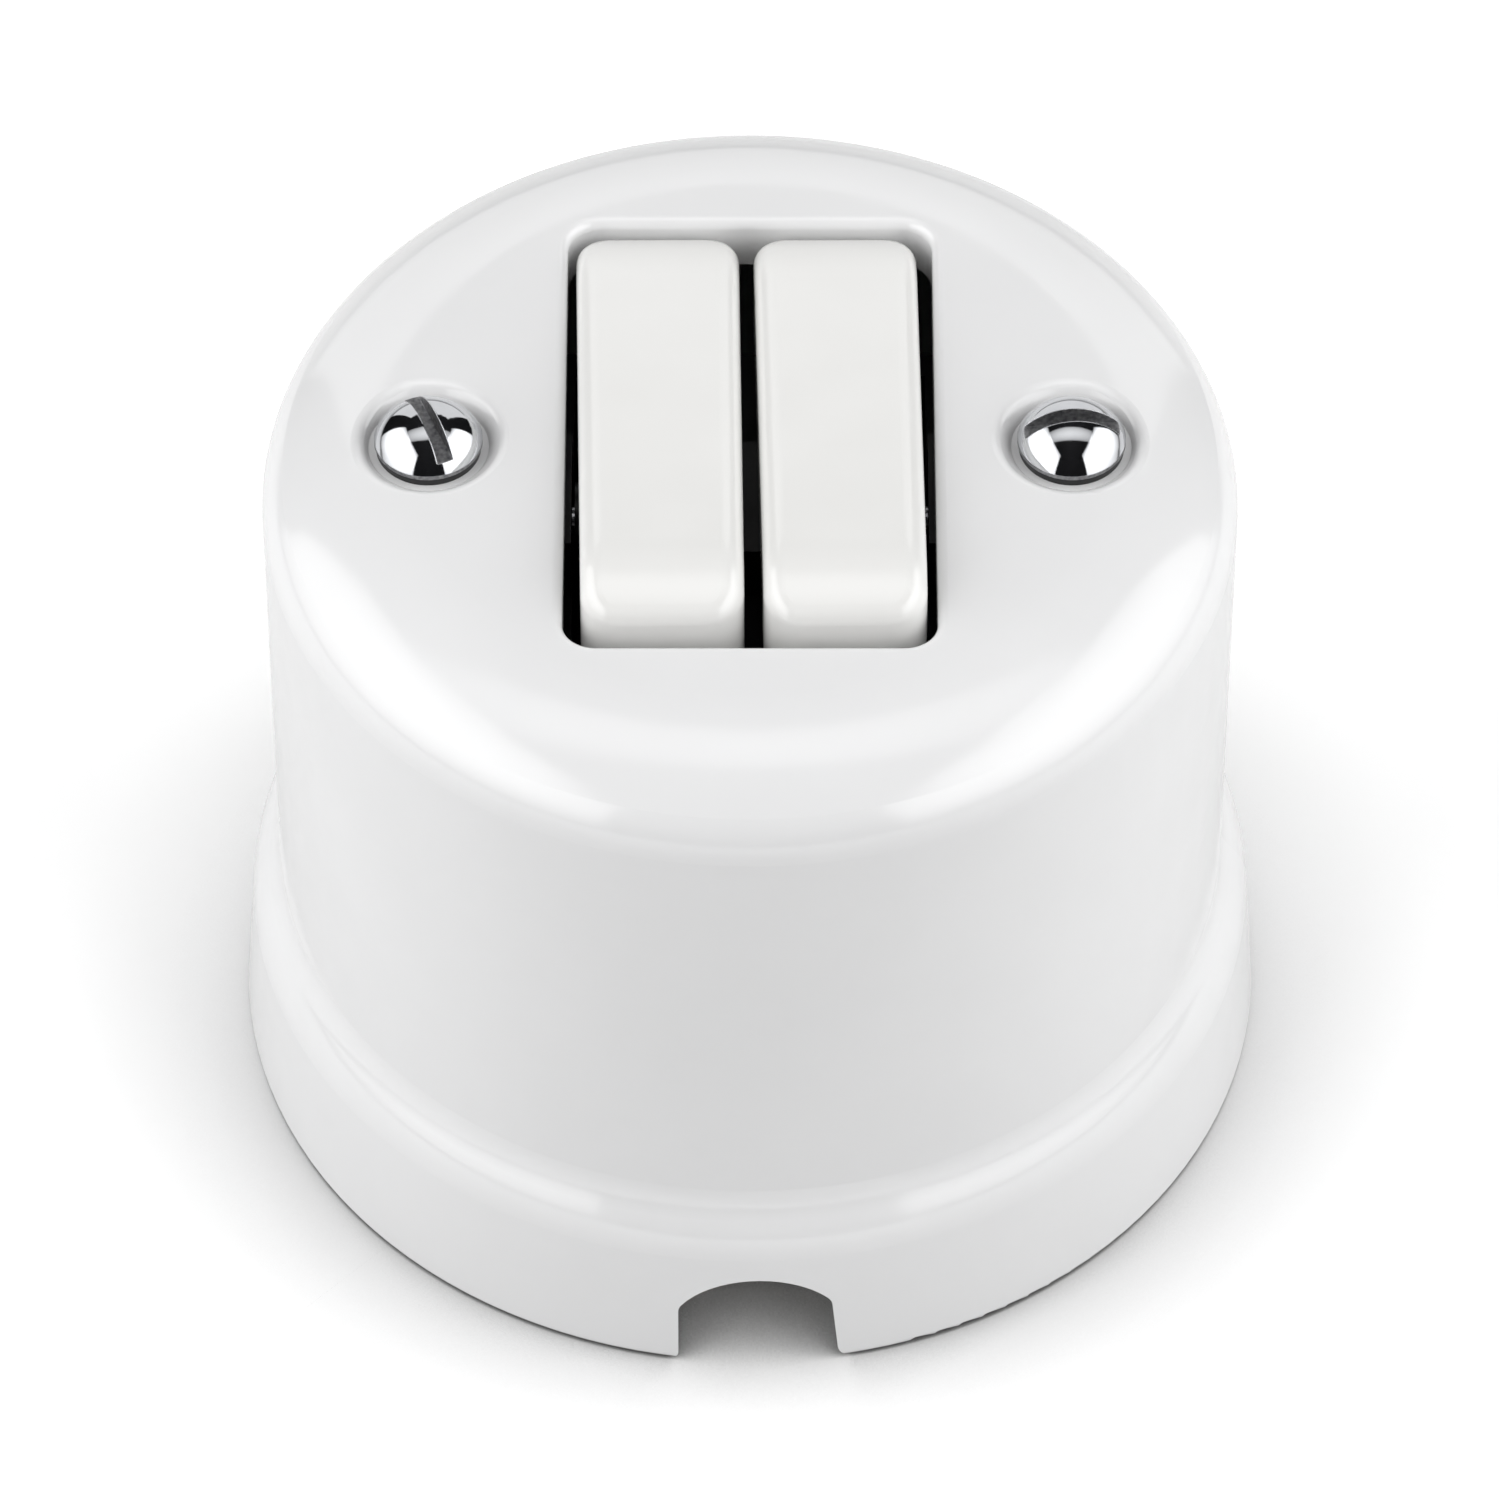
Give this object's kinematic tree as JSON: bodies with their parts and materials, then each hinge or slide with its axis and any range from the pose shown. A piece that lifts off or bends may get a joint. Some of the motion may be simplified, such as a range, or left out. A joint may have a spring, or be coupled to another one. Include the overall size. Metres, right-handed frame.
{
  "type": "surface-mounted porcelain rocker light switch",
  "caption": "Round white porcelain surface light switch with a flared foot, side by side rocker keys, chromed slotted cover screws and an arched cable notch.",
  "frame": {"origin": "centre of the wall plane, where the base and the cover's foot meet the wall", "axes": "+Z out of the wall through the face, -Y towards the cable notch, +X to the right seen from the front"},
  "size_m": [0.0702, 0.0699, 0.057],
  "materials": {
    "glazed_porcelain": "white gloss glaze",
    "key_porcelain": "warm white gloss glaze",
    "bisque_porcelain": "unglazed porcelain",
    "black_moulding": "black thermoset",
    "plunger_plastic": "natural nylon",
    "brass": "bright brass",
    "chrome": "polished chrome",
    "steel": "zinc plated steel",
    "spring_steel": "spring steel",
    "silver": "silver contact metal"
  },
  "bodies": {
    "housing": {"cover": "glazed_porcelain", "base": "bisque_porcelain", "switch_housing": "black_moulding", "pivot_axle": "steel", "cover_screws": "chrome", "screw_washers": "black_moulding", "cover_pillars": "brass", "threaded_inserts": "brass", "fixed_contacts": "silver", "terminal_screws": "steel", "left_common_terminal": "brass", "left_load_terminal": "brass", "right_common_terminal": "brass", "right_load_terminal": "brass"},
    "left_key_body": {"left_key": "key_porcelain", "left_rocker": "black_moulding", "left_plunger_spring": "spring_steel"},
    "left_plunger_body": {"left_plunger": "plunger_plastic"},
    "left_contact_body": {"left_contact_arm": "brass", "left_moving_contact": "silver"},
    "right_key_body": {"right_key": "key_porcelain", "right_rocker": "black_moulding", "right_plunger_spring": "spring_steel"},
    "right_plunger_body": {"right_plunger": "plunger_plastic"},
    "right_contact_body": {"right_contact_arm": "brass", "right_moving_contact": "silver"}
  },
  "joints": [
    {"name": "left_key_rock", "type": "hinge", "parent": "housing", "child": "left_key_body", "pos_m": [-0.00598, 0, 0.0463], "axis": [1, 0, 0], "range_deg": [0, 7]},
    {"name": "left_contact_rock", "type": "hinge", "parent": "housing", "child": "left_contact_body", "pos_m": [-0.00598, 0, 0.0318], "axis": [1, 0, 0], "range_deg": [-16, 0]},
    {"name": "left_plunger_slide", "type": "slide", "parent": "left_key_body", "child": "left_plunger_body", "axis": [0, 0.061, 0.9981], "range_m": [0, 0.0008], "stiffness_N_per_m": 300, "springref_m": -0.003, "deforming": ["left_plunger_spring"]},
    {"name": "right_key_rock", "type": "hinge", "parent": "housing", "child": "right_key_body", "pos_m": [0.00598, 0, 0.0463], "axis": [1, 0, 0], "range_deg": [0, 7]},
    {"name": "right_contact_rock", "type": "hinge", "parent": "housing", "child": "right_contact_body", "pos_m": [0.00598, 0, 0.0318], "axis": [1, 0, 0], "range_deg": [-16, 0]},
    {"name": "right_plunger_slide", "type": "slide", "parent": "right_key_body", "child": "right_plunger_body", "axis": [0, 0.061, 0.9981], "range_m": [0, 0.0008], "stiffness_N_per_m": 300, "springref_m": -0.003, "deforming": ["right_plunger_spring"]}
  ],
  "couplings": [
    {"joint": "left_contact_rock", "follows": "left_key_rock", "ratio": -2.2857},
    {"joint": "right_contact_rock", "follows": "right_key_rock", "ratio": -2.2857}
  ]
}
